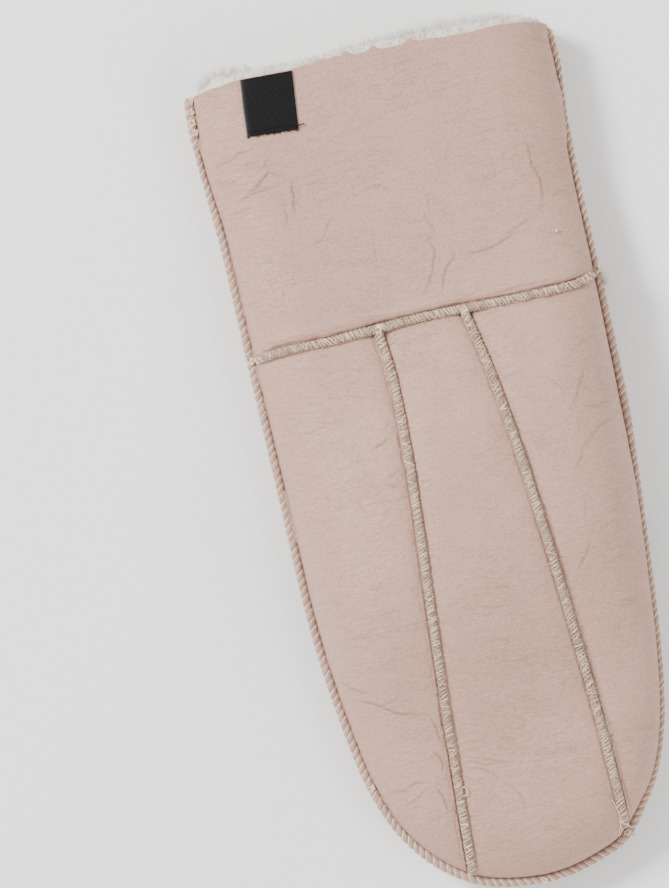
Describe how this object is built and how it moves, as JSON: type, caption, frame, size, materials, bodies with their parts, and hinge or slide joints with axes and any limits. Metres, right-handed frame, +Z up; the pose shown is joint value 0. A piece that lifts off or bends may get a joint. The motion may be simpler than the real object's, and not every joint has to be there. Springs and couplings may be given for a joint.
{
  "type": "sheepskin mitten",
  "caption": "Leather mitten with the wool inside: a back and a cuff of sewn panels, whip-stitched edges, the thumb folded flat under the palm, and a small bare label at the mouth.",
  "frame": {"origin": "centre of the footprint's bounding box, on the surface that the mitten lies on", "axes": "+Y along the mitten from the fingertips out of the mouth, +X towards the side of the thumb, +Z up from the palm to the back"},
  "size_m": [0.1262, 0.2877, 0.0382],
  "materials": {
    "nappa": "soft sheepskin nappa, beige pink, satin with fine creases",
    "thread": "cream whip stitching over a raised leather seam",
    "wool": "short dense sheep's wool, off-white, matte",
    "woven_label": "black woven tape, matte"
  },
  "bodies": {
    "root": {"back_cuff": "nappa", "back_panel_outer": "nappa", "back_panel_middle": "nappa", "back_panel_inner": "nappa", "palm_cuff": "nappa", "palm_heel": "nappa", "thumb_gusset": "nappa", "palm_band": "nappa", "palm_fingertip": "nappa", "thumb_under": "nappa", "thumb_upper": "nappa", "side_welt": "thread", "cuff_welt_back": "thread", "back_welt_outer": "thread", "back_welt_inner": "thread", "cuff_welt_palm": "thread", "gusset_welt": "thread", "heel_welt": "thread", "fingertip_welt": "thread", "thumb_welt": "thread", "fleece_back": "wool", "fleece_palm": "wool", "label": "woven_label"}
  },
  "joints": []
}
